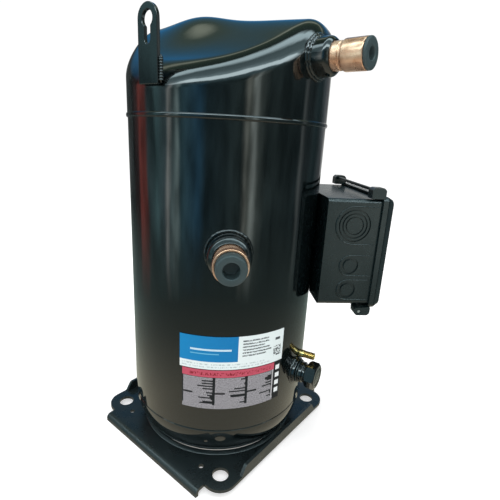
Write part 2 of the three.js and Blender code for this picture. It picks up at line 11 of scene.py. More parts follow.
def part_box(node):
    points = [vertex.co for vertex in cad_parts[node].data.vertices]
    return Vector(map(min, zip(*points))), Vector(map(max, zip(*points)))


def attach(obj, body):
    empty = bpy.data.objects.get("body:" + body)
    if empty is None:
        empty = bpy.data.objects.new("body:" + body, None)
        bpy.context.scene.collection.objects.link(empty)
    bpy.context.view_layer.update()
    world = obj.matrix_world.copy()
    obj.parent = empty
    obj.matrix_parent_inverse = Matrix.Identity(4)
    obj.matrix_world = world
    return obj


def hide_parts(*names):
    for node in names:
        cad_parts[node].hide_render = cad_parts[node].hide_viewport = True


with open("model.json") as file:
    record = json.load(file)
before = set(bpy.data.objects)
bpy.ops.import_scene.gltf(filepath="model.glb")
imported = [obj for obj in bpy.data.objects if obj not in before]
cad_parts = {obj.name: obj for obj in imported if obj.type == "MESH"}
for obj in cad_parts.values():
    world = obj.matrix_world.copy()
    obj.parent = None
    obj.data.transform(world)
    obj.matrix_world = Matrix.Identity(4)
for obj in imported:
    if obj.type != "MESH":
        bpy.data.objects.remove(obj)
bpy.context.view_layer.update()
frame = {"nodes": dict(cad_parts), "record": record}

MM = 0.001
TURN = 2 * math.pi
FINE = 160  # facets round a full-size cylinder
ROUND = 96  # facets round a stub or a fitting

BODY_OF = {node: body for body, nodes in frame["record"]["behaviour"]["bodies"].items() for node in nodes}
SLOT_OF = {part["node"]: part["material_slot"] for part in frame["record"]["subparts"]}


# ---- places, from the frame
def local_box(node, angle=0.0):
    """Lowest and highest corners of a CAD node, in mm, in the frame turned by angle about Z."""
    turn = Matrix.Rotation(-angle, 3, "Z")
    points = [turn @ v.co / MM for v in frame["nodes"][node].data.vertices]
    lows = [min(p[k] for p in points) for k in range(3)]
    highs = [max(p[k] for p in points) for k in range(3)]
    return Vector(lows), Vector(highs)


def bearing(node):
    low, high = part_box(node)
    return math.atan2(low[1] + high[1], low[0] + high[0])


def station(node):
    """Frame whose X points out of the shell through the node, at the node's middle height."""
    low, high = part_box(node)
    height = (low[2] + high[2]) / 2 / MM
    return Matrix.Rotation(bearing(node), 4, "Z") @ Matrix.Translation((0, 0, height))


def sweep_of(node):
    """Angles and heights that a curved label covers, and its outer radius in mm."""
    points = [v.co / MM for v in frame["nodes"][node].data.vertices]
    angles = [math.atan2(p.y, p.x) for p in points]
    heights = [p.z for p in points]
    radius = max(math.hypot(p.x, p.y) for p in points)
    return min(angles), max(angles), min(heights), max(heights), radius


# Lengths are in mm up to the mesh helpers, which turn them into metres.
GAP = 0.35  # clearance the CAD leaves between neighbouring pieces
WALL = 4.0  # thickness of the shell's sheet
SHELL_LOW, SHELL_HIGH = local_box("shell_body")
SHELL_RADIUS = SHELL_HIGH.x
SEAM = SHELL_HIGH.z  # where the cap is welded on
SEAM_SWELL = 1.3  # how far the weld bead stands out of the cap
BEAD_HALF, BEAD_LIFT = 2.5, 0.5  # half the bead's height, and its middle over the seam
CAP_RADIUS = local_box("top_cap")[1].x - SEAM_SWELL
CAP_TOP = local_box("top_cap")[1].z
CAP_EXTRA = 1.2  # how much thicker the crown is, measured upright
CAP_FALL = 62.6  # height from the crown to the foot of the ramp
CAP_ROUND = 20.0  # rounding of the rim
CAP_CROWNING = 0.00024  # fall from the axis, over the radius squared
CROWN_REACH = 80  # the crown's highest point is nearer to the axis than this
RIM_STEPS, CROWN_STEPS, BEAD_STEPS = 18, 30, 12
RAMP_BEARING = math.radians(-77.5)
RAMP_FROM, RAMP_TO = 6.0, 149.0  # where the ramp starts and ends along its bearing
RAMP_SKEW, RAMP_BLEND = 0.65, 0.14  # how early it falls, and how gently it starts
HUMP_X, HUMP_Y = -31.0, -21.0  # middle of the crown's low hump
HUMP_HEIGHT, HUMP_SPREAD = 9.0, 42.0


# ---- mesh helpers
def build(name, verts, faces, matrix=None, sharp=32):
    """Object from points in mm; its faces point outwards and edges over sharp degrees stay crisp."""
    mesh = bpy.data.meshes.new(name)
    mesh.from_pydata([tuple(Vector(v) * MM) for v in verts], [], faces)
    return settle(name, mesh, matrix, sharp)


def settle(name, mesh, matrix=None, sharp=32):
    """Object from a mesh in metres, placed by a matrix whose shift is in mm."""
    work = bmesh.new()
    work.from_mesh(mesh)
    bmesh.ops.remove_doubles(work, verts=work.verts, dist=1e-6)
    bmesh.ops.recalc_face_normals(work, faces=work.faces)
    work.to_mesh(mesh)
    work.free()
    if matrix is not None:
        shift = matrix.copy()
        shift.translation = matrix.translation * MM
        mesh.transform(shift)
    mesh.shade_smooth()
    mesh.set_sharp_from_angle(angle=math.radians(sharp))
    piece = bpy.data.objects.new(name, mesh)
    bpy.context.scene.collection.objects.link(piece)
    return piece


def soften(profile, radius, steps=4, closed=True):
    """The same outline with every corner rounded; radius may be a list, one for each corner."""
    count = len(profile)
    radii = radius if isinstance(radius, (list, tuple)) else [radius] * count
    result = []
    for i, corner in enumerate(profile):
        ends = not closed and i in (0, count - 1)
        if ends or radii[i] == 0:
            result.append(tuple(corner))
            continue
        here = Vector(corner)
        before = Vector(profile[i - 1]) - here
        after = Vector(profile[(i + 1) % count]) - here
        reach = min(radii[i], before.length * 0.48, after.length * 0.48)
        start = here + before.normalized() * reach
        end = here + after.normalized() * reach
        for k in range(steps + 1):
            t = k / steps
            result.append(tuple(start * (1 - t) ** 2 + here * 2 * t * (1 - t) + end * t * t))
    return result


def lathe(name, profile, matrix=None, along="Z", segments=ROUND):
    """Solid of revolution of (radius, height) pairs. An open profile starts and ends on the axis."""
    open_ends = profile[0][0] == 0 and profile[-1][0] == 0
    inner = profile[1:-1] if open_ends else profile
    verts, faces = [], []
    for i in range(segments):
        a = TURN * i / segments
        for r, h in inner:
            flat = (r * math.cos(a), r * math.sin(a))
            verts.append((h, *flat) if along == "X" else (*flat, h))
    rows = len(inner)
    last = rows - 1 if open_ends else rows
    for i in range(segments):
        j = (i + 1) % segments
        for k in range(last):
            n = (k + 1) % rows
            faces.append((i * rows + k, j * rows + k, j * rows + n, i * rows + n))
    if open_ends:
        for k, (_, h) in ((0, profile[0]), (rows - 1, profile[-1])):
            pole = len(verts)
            verts.append((h, 0, 0) if along == "X" else (0, 0, h))
            faces += [(i * rows + k, ((i + 1) % segments) * rows + k, pole) for i in range(segments)]
    return build(name, verts, faces, matrix)


def loft(rows, count):
    """Faces between neighbouring closed rows of count points."""
    faces = []
    for low in range(0, (rows - 1) * count, count):
        for i in range(count):
            j = (i + 1) % count
            faces.append((low + i, low + j, low + count + j, low + count + i))
    return faces


def arc(cx, cy, radius, start, end, steps):
    angles = [math.radians(start + (end - start) * i / steps) for i in range(steps + 1)]
    return [(cx + radius * math.cos(a), cy + radius * math.sin(a)) for a in angles]


def circle(cx, cy, radius, steps=48):
    return arc(cx, cy, radius, 0, 360, steps)[:-1]


def rounded_rectangle(x0, x1, y0, y1, radius, steps=8):
    return (
        arc(x1 - radius, y1 - radius, radius, 0, 90, steps)
        + arc(x0 + radius, y1 - radius, radius, 90, 180, steps)
        + arc(x0 + radius, y0 + radius, radius, 180, 270, steps)
        + arc(x1 - radius, y0 + radius, radius, 270, 360, steps)
    )


# Outlines are drawn in a plane and extruded along its normal: these say how (u, v, w) stands.
FLAT = Matrix.Identity(4)
UPRIGHT = Matrix(((0, 0, 1, 0), (1, 0, 0, 0), (0, 1, 0, 0), (0, 0, 0, 1)))
SIDEWAYS = Matrix(((1, 0, 0, 0), (0, 0, -1, 0), (0, 1, 0, 0), (0, 0, 0, 1)))


def sheet(name, outline, holes, low, high, stand=FLAT, matrix=None):
    """Flat outline with holes, given thickness from low to high along its normal."""
    work = bmesh.new()
    edges = []
    for loop in [outline, *holes]:
        verts = [work.verts.new((x * MM, y * MM, low * MM)) for x, y in loop]
        edges += [work.edges.new((verts[i - 1], verts[i])) for i in range(len(verts))]
    bmesh.ops.triangle_fill(work, use_beauty=True, use_dissolve=False, edges=edges)
    lid = bmesh.ops.extrude_face_region(work, geom=work.faces[:])
    raised = [v for v in lid["geom"] if isinstance(v, bmesh.types.BMVert)]
    bmesh.ops.translate(work, verts=raised, vec=(0, 0, (high - low) * MM))
    bmesh.ops.dissolve_limit(work, angle_limit=0.002, verts=work.verts, edges=work.edges)
    mesh = bpy.data.meshes.new(name)
    work.to_mesh(mesh)
    work.free()
    return settle(name, mesh, stand if matrix is None else matrix @ stand)


def evaluate(piece):
    """Applies a piece's modifiers."""
    graph = bpy.context.evaluated_depsgraph_get()
    mesh = bpy.data.meshes.new_from_object(piece.evaluated_get(graph))
    piece.modifiers.clear()
    piece.data = mesh
    return piece


def combine(piece, tools, operation="UNION"):
    for tool in tools:
        step = piece.modifiers.new("combine", "BOOLEAN")
        step.operation = operation
        step.solver = "EXACT"
        step.object = tool
        evaluate(piece)
        bpy.data.objects.remove(tool)
    return piece


def bevel_edges(piece, width, segments=3, angle=35):
    """Rounds every edge sharper than angle, and keeps the flats flat."""
    step = piece.modifiers.new("edges", "BEVEL")
    step.width = width * MM
    step.segments = segments
    step.limit_method = "ANGLE"
    step.angle_limit = math.radians(angle)
    step.harden_normals = True
    step.miter_outer = "MITER_ARC"
    return piece


def tube_along(name, path, half_width, half_height, closed=False, ripple=0.0, pitch=3, sides=12, matrix=None):
    """Bead of oval section along (point, outward normal) pairs, with optional weld ripples."""
    count = len(path)
    verts, faces = [], []
    for i, (point, normal) in enumerate(path):
        ahead = path[(i + 1) % count][0] if closed or i + 1 < count else point
        behind = path[i - 1][0] if closed or i > 0 else point
        tangent = (Vector(ahead) - Vector(behind)).normalized()
        up = Vector(normal).normalized()
        side = tangent.cross(up).normalized()
        swell = 1 + ripple * (0.5 * math.cos(TURN * i / pitch) + noise.noise(Vector(point) * 0.11))
        taper = 1.0
        if not closed:
            taper = min(1.0, 0.35 + 0.65 * min(i, count - 1 - i) / 4)
        for k in range(sides):
            a = TURN * k / sides
            across = side * (half_width * swell * taper * math.cos(a))
            verts.append(tuple(Vector(point) + across + up * (half_height * swell * taper * math.sin(a))))
    spans = count if closed else count - 1
    for i in range(spans):
        j = (i + 1) % count
        for k in range(sides):
            n = (k + 1) % sides
            faces.append((i * sides + k, i * sides + n, j * sides + n, j * sides + k))
    if not closed:
        faces.append(tuple(range(sides)))
        faces.append(tuple(range((count - 1) * sides, count * sides)))
    return build(name, verts, faces, matrix, sharp=60)


# ---- node materials
class Shader:
    """A small helper round one material's node tree."""

    def __init__(self, name):
        self.material = bpy.data.materials.new(name)
        self.material.use_nodes = True
        self.tree = self.material.node_tree
        self.surface = self.tree.nodes["Principled BSDF"]
        self.place = self.add("TexCoord").outputs["Object"]

    def add(self, kind, inputs=None, **settings):
        node = self.tree.nodes.new("ShaderNode" + kind)
        for key, value in settings.items():
            setattr(node, key, value)
        for key, value in (inputs or {}).items():
            self.feed(node.inputs[key], value)
        return node

    def feed(self, socket, value):
        if isinstance(value, bpy.types.NodeSocket):
            self.tree.links.new(value, socket)
        else:
            socket.default_value = value

    def set(self, **values):
        for key, value in values.items():
            self.feed(self.surface.inputs[key.replace("_", " ")], value)

    def math(self, operation, *values):
        node = self.add("Math", operation=operation)
        for socket, value in zip(node.inputs, values):
            self.feed(socket, value)
        return node.outputs[0]

    def times(self, one, other):
        return self.math("MULTIPLY", one, other)

    def stretch(self, scale):
        """Texture coordinates with a scale for each axis, in repeats per metre."""
        inputs = {"Vector": self.place, "Scale": scale}
        return self.add("Mapping", inputs).outputs[0]

    def noise(self, scale, detail=4.0, rough=0.5, source=None):
        inputs = {"Vector": source or self.place, "Scale": scale, "Detail": detail, "Roughness": rough}
        return self.add("TexNoise", inputs).outputs["Fac"]

    def blend(self, amount, low, high):
        node = self.add("Mix", data_type="RGBA")
        self.feed(node.inputs[0], amount)
        self.feed(node.inputs[6], low)
        self.feed(node.inputs[7], high)
        return node.outputs[2]

    def tones(self, amount, low, high):
        """Base colour between two tones."""
        self.set(Base_Color=self.blend(amount, colour(*low), colour(*high)))

    def between(self, value, low, high, start=0.0, end=1.0):
        inputs = {"Value": value, "From Min": start, "From Max": end, "To Min": low, "To Max": high}
        return self.add("MapRange", inputs).outputs[0]

    def bump(self, height, strength, distance):
        inputs = {"Height": height, "Strength": strength, "Distance": distance}
        previous = self.surface.inputs["Normal"]
        if previous.is_linked:
            inputs["Normal"] = previous.links[0].from_socket
        self.set(Normal=self.add("Bump", inputs).outputs[0])


def colour(r, g, b):
    return (r, g, b, 1.0)


def gloss_paint():
    s = Shader("gloss_black_enamel")
    flow = s.noise(14, 3, 0.5)
    s.tones(flow, (0.0012, 0.0025, 0.0028), (0.003, 0.005, 0.0053))
    film = s.noise(5, 5, 0.6)
    s.set(Roughness=s.between(film, 0.03, 0.10, 0.3, 0.75), Coat_Weight=0.35, Coat_Roughness=0.03)
    s.bump(s.noise(190, 2, 0.4), 0.04, 0.0005)
    s.bump(s.noise(24, 2, 0.5), 0.10, 0.0012)
    s.bump(s.noise(1.0, 3, 0.6, s.stretch((110, 110, 5))), 0.05, 0.0006)
    return s.material


def plate_paint():
    s = Shader("satin_black_enamel")
    patches = s.noise(18, 6, 0.65)
    s.tones(patches, (0.006, 0.010, 0.011), (0.018, 0.026, 0.028))
    s.set(Roughness=s.between(s.noise(40, 5, 0.6), 0.2, 0.42, 0.3, 0.7))
    s.bump(s.noise(420, 3, 0.5), 0.12, 0.0004)
    return s.material


def copper():
    s = Shader("drawn_copper")
    cloud = s.between(s.noise(70, 6, 0.65), 0, 1, 0.35, 0.65)
    s.tones(cloud, (0.52, 0.28, 0.17), (0.86, 0.58, 0.40))
    s.set(Metallic=0.74, Roughness=s.between(s.noise(35, 4), 0.18, 0.32, 0.3, 0.7))
    s.bump(s.noise(400, 3), 0.05, 0.0002)
    return s.material


def plug_rubber():
    s = Shader("shipping_plug_rubber")
    cloud = s.noise(90, 5, 0.6)
    s.tones(cloud, (0.022, 0.038, 0.041), (0.044, 0.068, 0.071))
    s.set(Roughness=s.between(s.noise(300, 3), 0.42, 0.62), Specular_IOR_Level=0.35)
    s.bump(s.noise(700, 3), 0.15, 0.0003)
    return s.material


def box_plastic():
    s = Shader("moulded_black_plastic")
    cloud = s.noise(30, 4, 0.6)
    s.tones(cloud, (0.0035, 0.0090, 0.0100), (0.0070, 0.0150, 0.0165))
    s.set(Roughness=s.between(s.noise(120, 3), 0.22, 0.34))
    s.bump(s.noise(900, 2), 0.05, 0.0001)
    return s.material


def brass():
    s = Shader("turned_brass")
    cloud = s.noise(120, 4, 0.6)
    s.tones(cloud, (0.55, 0.36, 0.11), (0.80, 0.60, 0.26))
    s.set(Metallic=1.0, Roughness=s.between(s.noise(260, 3), 0.16, 0.34))
    s.bump(s.noise(900, 2), 0.08, 0.0002)
    return s.material


def glass_with_painted_dark():
    s = Shader("sight_glass")
    # Near-black base colour is painted shade: it stands for the dark inside of the compressor seen through
    # the window.
    s.tones(s.noise(50), (0.010, 0.020, 0.018), (0.020, 0.034, 0.030))
    s.set(Roughness=s.between(s.noise(200), 0.01, 0.05), Transmission_Weight=0.3, IOR=1.5)
    return s.material


def machined_steel():
    s = Shader("machined_steel")
    lines = s.noise(1.0, 4, 0.6, s.stretch((60, 60, 1200)))
    s.tones(lines, (0.42, 0.43, 0.44), (0.62, 0.63, 0.64))
    s.set(Metallic=1.0, Roughness=s.between(lines, 0.2, 0.42))
    s.bump(lines, 0.1, 0.0002)
    return s.material


def cast_iron():
    s = Shader("grey_iron_casting")
    grain = s.noise(380, 5, 0.65)
    s.tones(grain, (0.10, 0.10, 0.10), (0.24, 0.24, 0.235))
    s.set(Metallic=0.85, Roughness=s.between(grain, 0.42, 0.7))
    s.bump(grain, 0.3, 0.0006)
    return s.material


def die_cast():
    s = Shader("die_cast_aluminium")
    grain = s.noise(220, 5, 0.6)
    s.tones(grain, (0.52, 0.53, 0.54), (0.74, 0.75, 0.76))
    s.set(Metallic=1.0, Roughness=s.between(grain, 0.28, 0.48))
    s.bump(grain, 0.15, 0.0004)
    return s.material


def lamination():
    s = Shader("stacked_lamination")
    inputs = {"Vector": s.place, "Scale": 320.0, "Distortion": 0.4}
    edge = s.add("TexWave", inputs, bands_direction="Z").outputs["Fac"]
    s.tones(edge, (0.12, 0.12, 0.13), (0.36, 0.37, 0.39))
    s.set(Metallic=0.9, Roughness=s.between(s.noise(90), 0.35, 0.55))
    s.bump(edge, 0.4, 0.0003)
    return s.material


def winding():
    s = Shader("varnished_winding")
    inputs = {"Vector": s.place, "Scale": 150.0, "Distortion": 6.0, "Detail": 3.0}
    wave = s.add("TexWave", inputs, wave_type="RINGS", rings_direction="Z")
    strands = wave.outputs["Fac"]
    s.tones(strands, (0.16, 0.05, 0.015), (0.62, 0.27, 0.09))
    s.set(Metallic=0.5, Roughness=s.between(strands, 0.2, 0.4), Coat_Weight=0.5)
    s.bump(strands, 0.6, 0.0008)
    return s.material


class Print(Shader):
    """Label film, painted in rectangles over its own u and v."""

    def __init__(self, name, paper):
        super().__init__(name)
        split = self.add("SeparateXYZ", {0: self.add("TexCoord").outputs["UV"]})
        self.u, self.v = split.outputs[0], split.outputs[1]
        grain = self.noise(500, 3)
        self.ink = self.blend(grain, [c * 0.94 for c in paper[:3]] + [1], paper)

    def span(self, value, low, high):
        return self.times(self.math("GREATER_THAN", value, low), self.math("LESS_THAN", value, high))

    def patch(self, u0, u1, v0, v1):
        return self.times(self.span(self.u, u0, u1), self.span(self.v, v0, v1))

    def paint(self, mask, ink):
        self.ink = self.blend(mask, self.ink, ink)

    def finish(self):
        sheen = self.between(self.noise(60), 0.30, 0.42)
        self.set(Base_Color=self.ink, Roughness=sheen, Specular_IOR_Level=0.15)
        self.bump(self.noise(60, 2), 0.03, 0.0005)
        return self.material

    def speckle(self, columns, rows, low, high):
        """Blotches of the given count across and up the film, from 0 to 1."""
        inputs = {0: self.times(self.u, columns), 1: self.times(self.v, rows)}
        place = self.add("CombineXYZ", inputs).outputs[0]
        return self.between(self.noise(1.0, 2, 0.6, place), 0, 1, low, high)

    def lines(self, u0, u1, v0, v1, rows, duty, short, ragged, seed):
        """Rows of plain bars; a share of them is cut short by up to the ragged share of the width."""
        row = self.between(self.v, 0, rows, v0, v1)
        whole = self.math("FLOOR", row)
        inside = self.math("LESS_THAN", self.math("SUBTRACT", row, whole), duty)
        inputs = {"W": self.math("ADD", whole, seed)}
        chance = self.add("TexWhiteNoise", inputs, noise_dimensions="1D").outputs["Value"]
        cut = self.between(chance, 0, ragged * (u1 - u0), 1 - short, 1)
        reach = self.math("LESS_THAN", self.u, self.math("SUBTRACT", u1, cut))
        area = self.patch(u0, u1, v0, v1)
        return self.times(area, self.times(inside, reach))


def upper_film():
    """White film with a blue panel and rows of plain bars."""
    p = Print("upper_label_film", colour(0.70, 0.78, 0.78))
    shade = p.between(p.u, 0.0, 1.0, 0.0, 0.53)
    blue = p.blend(shade, colour(0.004, 0.20, 0.45), colour(0.004, 0.165, 0.40))
    p.paint(p.patch(-0.1, 0.53, 0.235, 1.1), blue)
    p.paint(p.patch(0.10, 0.47, 0.57, 0.625), colour(0.50, 0.66, 0.74))
    p.paint(p.patch(0.10, 0.36, 0.46, 0.49), colour(0.12, 0.40, 0.58))
    dark = colour(0.06, 0.07, 0.075)
    words = p.speckle(150, 12, 0.44, 0.47)
    p.paint(p.times(p.lines(0.57, 0.86, 0.38, 0.92, 6, 0.52, 0.6, 0.3, 3.0), words), dark)
    p.paint(p.patch(0.90, 0.955, 0.70, 0.78), dark)
    p.paint(p.times(p.patch(0.885, 0.975, 0.20, 0.52), p.speckle(70, 16, 0.49, 0.51)), dark)
    rows = p.lines(0.02, 0.86, 0.05, 0.21, 2, 0.55, 0.5, 0.1, 5.0)
    small = p.times(rows, p.speckle(120, 9, 0.47, 0.55))
    p.paint(p.times(small, 0.6), colour(0.25, 0.32, 0.33))
    return p.finish()


def lower_film():
    """Black film with a red band over three grey columns, and pale squares down its right side."""
    p = Print("lower_label_film", colour(0.012, 0.014, 0.016))
    paper = p.blend(p.speckle(110, 46, 0.38, 0.62), colour(0.13, 0.13, 0.14), colour(0.36, 0.35, 0.37))
    black = colour(0.012, 0.013, 0.015)
    for k, (u0, u1) in enumerate(((0.01, 0.295), (0.32, 0.605), (0.63, 0.89))):
        p.paint(p.lines(u0, u1, 0.10, 0.81, 21, 1.1, 0.5, 0.55, 7.3 * k + 1), paper)
        p.paint(p.patch(u0, u0 + 0.095, 0.375 + 0.008 * k, 0.42 + 0.008 * k), black)
    p.paint(p.patch(-0.1, 0.915, -0.1, 0.10), paper)
    p.paint(p.patch(-0.1, 0.915, 0.82, 1.1), colour(0.47, 0.075, 0.115))
    row = p.lines(0.07, 0.88, 0.865, 0.945, 1, 1.1, 0.0, 0.1, 2.0)
    p.paint(p.times(row, p.speckle(75, 14, 0.50, 0.56)), colour(0.20, 0.012, 0.02))
    p.paint(p.patch(0.895, 0.91, 0.05, 0.82), colour(0.40, 0.40, 0.41))
    for k in range(4):
        low = 0.17 + 0.205 * k
        p.paint(p.patch(0.935, 0.985, low, low + 0.12), colour(0.72, 0.76, 0.76))
    return p.finish()


MATERIALS = {
    "black_paint": gloss_paint(),
    "copper": copper(),
    "plug_rubber": plug_rubber(),
    "box_plastic": box_plastic(),
    "brass": brass(),
    "glass": glass_with_painted_dark(),
    "steel": machined_steel(),
    "cast_iron": cast_iron(),
    "aluminium": die_cast(),
    "lamination": lamination(),
    "winding": winding(),
    "upper_label": upper_film(),
    "lower_label": lower_film(),
}
PLATE_PAINT = plate_paint()


def belongs(piece, node, material=None):
    """The piece moves with the node's body and takes the finish of the node's slot."""
    slot = SLOT_OF[node]
    piece.data.materials.clear()
    piece.data.materials.append(material or MATERIALS[slot])
    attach(piece, BODY_OF[node])
    return piece


def stands_for(piece, node, material=None):
    belongs(piece, node, material)
    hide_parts(node)
    return piece


# ---- casing
def crown_shape(r, a):
    """Slightly domed crown with a low hump and an S-shaped ramp, over the level of the axis."""
    reach = r * math.cos(a - RAMP_BEARING)
    share = min(max((reach - RAMP_FROM) / (RAMP_TO - RAMP_FROM), 0.0), 1.0)
    t = (share * share * (1 + RAMP_BLEND) / (share + RAMP_BLEND)) ** RAMP_SKEW
    away = math.hypot(r * math.cos(a) - HUMP_X, r * math.sin(a) - HUMP_Y) / HUMP_SPREAD
    hump = HUMP_HEIGHT * math.exp(-away * away)
    return hump - CAP_FALL * t * t * (3 - 2 * t) - CAP_CROWNING * r * r


CROWN_RISE = max(crown_shape(r, TURN * k / FINE) for r in range(CROWN_REACH) for k in range(FINE))


def cap_height(r, a):
    return CAP_TOP - CROWN_RISE + crown_shape(r, a)


def make_shell_body():
    low, high = SHELL_LOW.z, SHELL_HIGH.z
    bore = SHELL_RADIUS - WALL
    profile = [(bore, low), (SHELL_RADIUS, low), (SHELL_RADIUS, high), (bore, high)]
    profile = soften(profile, [0.4, 0.9, 0.5, 0.4])
    stands_for(lathe("shell_body_skin", profile, segments=FINE), "shell_body")


def make_bottom_cap():
    high = local_box("bottom_cap")[1]
    flat = 72.0  # radius of its level middle
    steps = 28
    lip_in, lip_down = 0.5, 0.7  # chamfer round its upper edge

    def quarter(reach, drop, lift):
        angles = [math.pi / 2 * i / steps for i in range(steps + 1)]
        return [(flat + reach * math.sin(a), lift + drop * (1 - math.cos(a))) for a in angles]

    outside = quarter(high.x - flat, high.z, 0.0)
    outside[-1] = (high.x - lip_in, high.z)
    outside.insert(-1, (high.x, high.z - lip_down))
    inside = quarter(high.x - WALL - flat, high.z - WALL, WALL)[::-1]
    profile = [(0, 0), *outside, *inside, (0, WALL)]
    stands_for(lathe("bottom_cap_skin", profile, segments=FINE), "bottom_cap")


def cap_skin(radius, rounding, drop):
    """Rings of points, (radius, height at a bearing), from the wall over the rim to the crown."""
    rings = []
    for step in range(RIM_STEPS + 1):
        tilt = math.pi / 2 * step / RIM_STEPS
        fall = rounding * (1 - math.sin(tilt)) + drop
        rings.append((radius - rounding * (1 - math.cos(tilt)), fall))
    rings += [((radius - rounding) * (1 - step / CROWN_STEPS), drop) for step in range(1, CROWN_STEPS)]
    return [[(r, cap_height(r, TURN * i / FINE) - fall) for i in range(FINE)] for r, fall in rings]


def make_top_cap():
    inner, lip = CAP_RADIUS - WALL, SHELL_RADIUS + GAP
    middle = SEAM + BEAD_LIFT
    edge = [(inner, SEAM + GAP), (lip, SEAM + GAP), (lip, middle - BEAD_HALF)]
    for step in range(1, BEAD_STEPS + 1):
        tilt = math.radians(-90 + 180 * step / BEAD_STEPS)
        edge.append((CAP_RADIUS + SEAM_SWELL * math.cos(tilt), middle + BEAD_HALF * math.sin(tilt)))
    skirt = [[corner] * FINE for corner in edge]
    thick = WALL + CAP_EXTRA
    rows = cap_skin(inner, CAP_ROUND - WALL, thick)[::-1] + skirt + cap_skin(CAP_RADIUS, CAP_ROUND, 0.0)
    angles = [TURN * i / FINE for i in range(FINE)]
    verts = [(r * math.cos(a), r * math.sin(a), z) for row in rows for a, (r, z) in zip(angles, row)]
    faces = loft(len(rows), FINE)
    for row, drop in ((0, thick), (len(rows) - 1, 0.0)):
        pole = len(verts)
        verts.append((0, 0, cap_height(0, 0) - drop))
        faces += [(row * FINE + i, row * FINE + (i + 1) % FINE, pole) for i in range(FINE)]
    stands_for(build("top_cap_skin", verts, faces, sharp=50), "top_cap")


PLATE_THICK = 4.0
PLATE_OPENING = 99.3  # radius of the hole round the bottom cap
HOLE_PLACE, HOLE = 95.25, 9.5  # mounting holes: half their square pitch, and their radius
SMALL_PLACE, SMALL_HOLE = (70, 102.5), 3.0
BEND_HALF = 90.5  # half the length of the turned-down edges
UPSTAND_HEIGHT = 12.0  # of the turned-up edges, over the plate's top
UPSTAND_FOOT, UPSTAND_HEAD = 83, 74  # half their length below and above
UPSTAND_ROOT = 8  # they start inside the plate's thickness
UPSTAND_INSET = 0.05  # keeps their faces off its edge


def plate_bend(side, half, top, outer):
    """A long edge of the foot plate, rolled over and turned down."""
    roll = 6.0
    over = arc(outer - roll, top - roll, roll, 90, 0, 8)
    under = arc(outer - roll, top - roll, roll - PLATE_THICK, 0, 90, 8)
    section = [(half, top), *over, (outer, 0), (outer - PLATE_THICK, 0), *under, (half, top - PLATE_THICK)]
    turn = Matrix.Rotation(math.pi if side < 0 else 0, 4, "Z")
    return sheet("bend", section, [], -BEND_HALF, BEND_HALF, UPRIGHT, turn)


def plate_wall(side, half, top):
    """A side edge of the foot plate, turned up, with slanted ends."""
    root = [(-UPSTAND_FOOT, UPSTAND_ROOT), (UPSTAND_FOOT, UPSTAND_ROOT)]
    outline = soften(root + [(UPSTAND_HEAD, top), (-UPSTAND_HEAD, top)], [0, 0, 3, 3])
    start = half - PLATE_THICK - UPSTAND_INSET if side > 0 else UPSTAND_INSET - half
    return sheet("upstand", outline, [], start, start + PLATE_THICK, UPRIGHT)


def make_base_plate():
    high = local_box("base_plate")[1]
    half, outer = high.x, high.y
    top = high.z - UPSTAND_HEIGHT
    opening = PLATE_OPENING
    holes = [circle(0, 0, opening, FINE)]
    for sx, sy in ((-1, -1), (-1, 1), (1, -1), (1, 1)):
        holes.append(circle(sx * HOLE_PLACE, sy * HOLE_PLACE, HOLE, 48))
        holes.append(circle(sx * SMALL_PLACE[0], sy * SMALL_PLACE[1], SMALL_HOLE, 24))
    outline = rounded_rectangle(-half, half, -half, half, half - HOLE_PLACE, 16)
    plate = sheet("base_plate_skin", outline, holes, top - PLATE_THICK, top)
    collar = [
        (opening - 0.2, top - 2), (opening + 7, top - 2), (opening + 7, top + 0.2),
        (opening + 2.4, top + 2), (opening + 0.8, top + 1.8), (opening - 0.2, top),
    ]
    ring = lathe("collar", soften(collar, [0, 0, 1, 0.8, 0.5, 0]), segments=FINE)
    bends = [plate_bend(side, half, top, outer) for side in (1, -1)]
    walls = [plate_wall(side, half, high.z) for side in (1, -1)]
    combine(plate, [ring, *bends, *walls])
    bevel_edges(plate, 0.8)
    stands_for(plate, "base_plate", PLATE_PAINT)


KEYHOLE_EYE, KEYHOLE_SLOT = 7.2, 4.0  # radii of the lug's keyhole
KEYHOLE_DROP = 30.5  # from the lug's top to the middle of the slot's lower end
LUG_WELD_POINTS, LUG_WELD_STEP = 40, 0.62


def make_lifting_lug():
    angle = bearing("lifting_lug")
    low, high = local_box("lifting_lug", angle)
    turn = Matrix.Rotation(angle, 4, "Z")
    half = high.y
    eye_height, slot_height = high.z - half, high.z - KEYHOLE_DROP
    meet = math.degrees(math.asin(KEYHOLE_SLOT / KEYHOLE_EYE))
    outline = [(-half, low.z), (half, low.z)] + arc(0, eye_height, half, 0, 180, 32)
    keyhole = arc(0, eye_height, KEYHOLE_EYE, meet - 90, 270 - meet, 28)
    keyhole += arc(0, slot_height, KEYHOLE_SLOT, 180, 360, 14)
    lug = sheet("lifting_lug_plate", outline, [keyhole], low.x, high.x, UPRIGHT, turn)
    bevel_edges(lug, 0.7)
    stands_for(lug, "lifting_lug")
    for side, name in ((-1, "lug_weld_left"), (1, "lug_weld_right")):
        path = []
        for i in range(LUG_WELD_POINTS):
            z = low.z + 1 + i * LUG_WELD_STEP
            y = side * (half + 0.6)
            x = math.sqrt(CAP_RADIUS**2 - y * y) + 1.2
            path.append(((x, y, z), (0.6, side * 0.8, 0)))
        belongs(tube_along(name, path, 1.9, 2.4, ripple=0.3, pitch=4, matrix=turn), "lifting_lug")


# ---- stubs
def wall_ring(radius, wall_radius, steps=120):
    """Path round a stub where it meets a cylindrical wall, with normals halfway out."""
    path = []
    for i in range(steps):
        a = TURN * i / steps
        y, z = radius * math.cos(a), radius * math.sin(a)
        x = math.sqrt(wall_radius**2 - y * y)
        path.append(((x, y, z), (0.8, 0.6 * math.cos(a), 0.6 * math.sin(a))))
    return path


